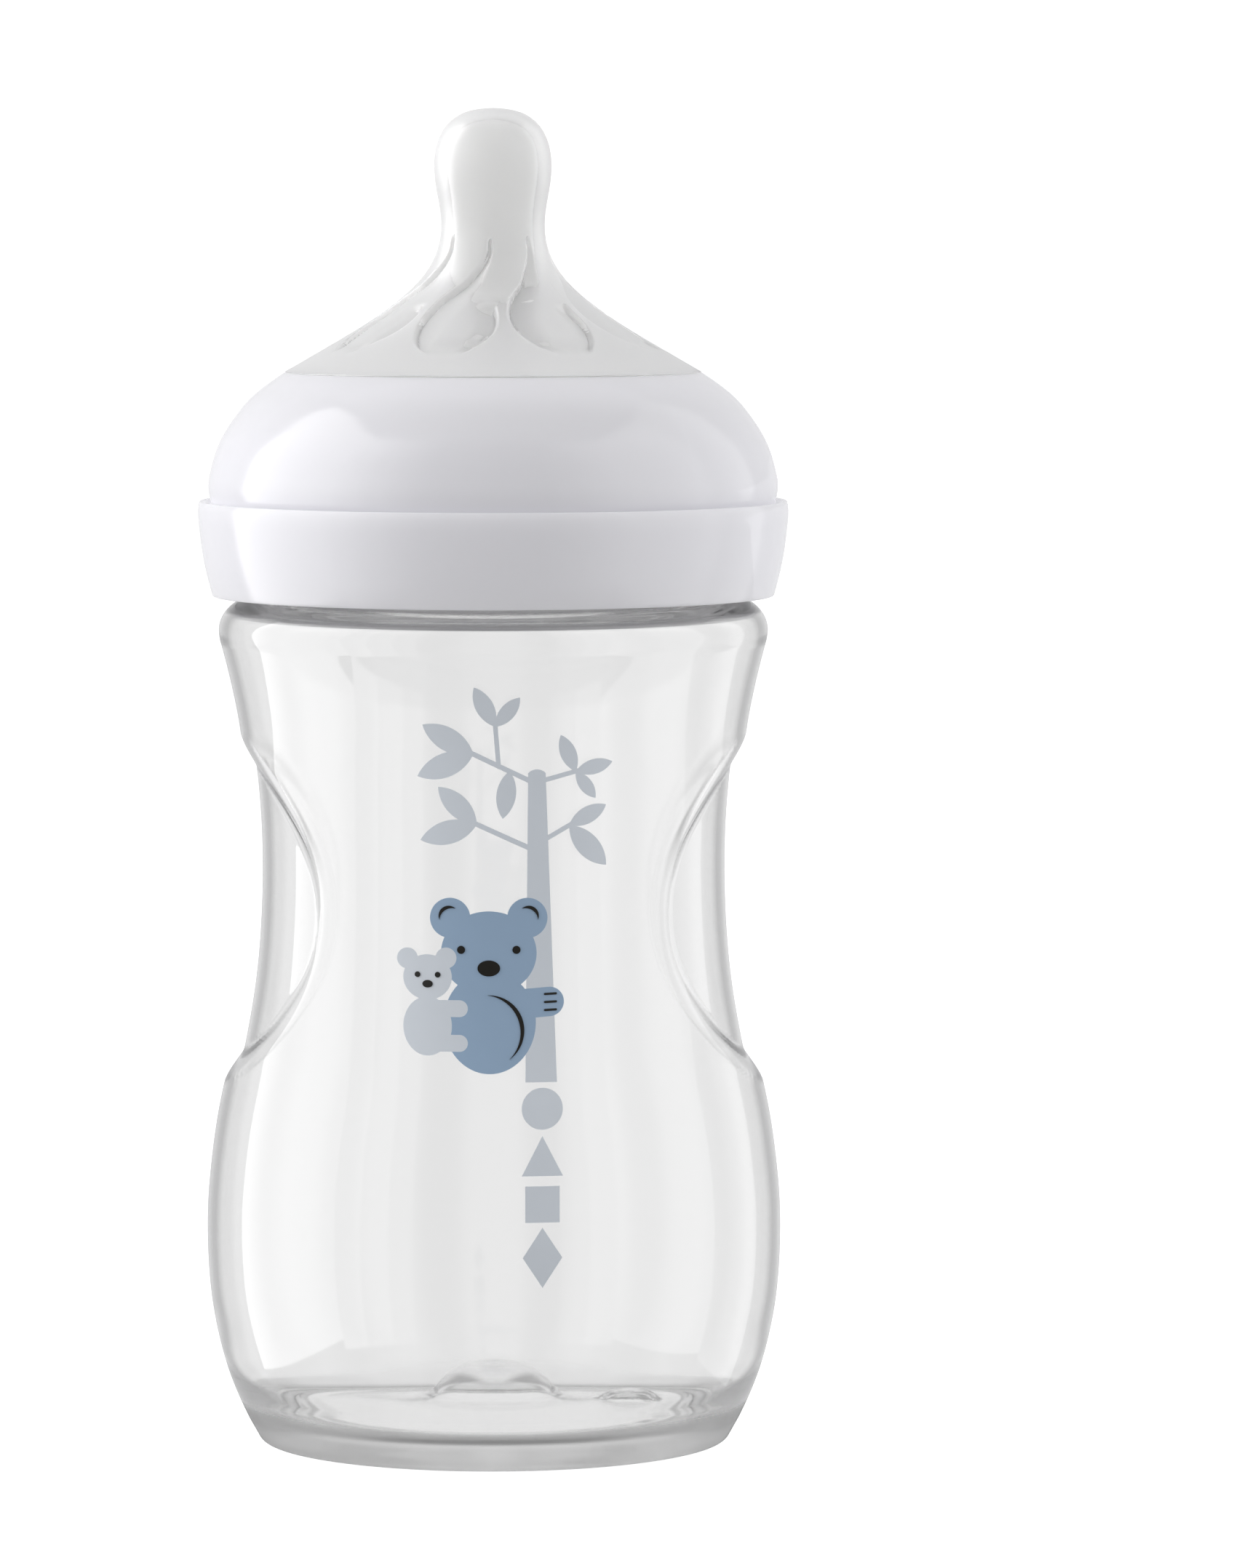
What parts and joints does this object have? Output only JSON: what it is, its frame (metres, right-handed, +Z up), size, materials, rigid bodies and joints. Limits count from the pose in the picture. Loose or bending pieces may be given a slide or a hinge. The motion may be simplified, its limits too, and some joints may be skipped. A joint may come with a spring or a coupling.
{
  "type": "baby bottle",
  "caption": "Waisted wide-neck feeding bottle in clear plastic, with a domed white screw ring, a soft petal-patterned teat and a printed sapling picture.",
  "frame": {"origin": "on the bottle's axis, in the plane that it stands on", "axes": "+Z up along the bottle's axis to the teat's tip, -Y out through the printed front, +X to the right as seen from the front"},
  "size_m": [0.0721, 0.0722, 0.1632],
  "materials": {
    "clear_shell": "clear polypropylene, very slightly hazy, glossy",
    "white_ring": "white polypropylene, satin gloss",
    "milky_silicone": "milky translucent silicone, satin",
    "grey_ink": "opaque screen-printed ink, matt",
    "blue_ink": "opaque screen-printed ink, matt",
    "black_ink": "opaque screen-printed ink, matt"
  },
  "bodies": {
    "bottle": {"bottle": "clear_shell", "print_tree": "grey_ink", "print_symbols": "grey_ink", "print_bear": "blue_ink", "print_cub": "grey_ink", "print_details": "black_ink"},
    "teat": {"teat": "milky_silicone"},
    "ring": {"screw_ring": "white_ring"}
  },
  "joints": [
    {"name": "teat_lift", "type": "slide", "parent": "bottle", "child": "teat", "axis": [0, 0, 1], "range_m": [0, 0.028]},
    {"name": "ring_turn", "type": "hinge", "parent": "teat", "child": "ring", "pos_m": [0, 0, 0.11], "axis": [0, 0, 1], "range_deg": [0, 1260]}
  ],
  "couplings": [
    {"joint": "teat_lift", "follows": "ring_turn", "m_per_rad": 0.0012732}
  ]
}
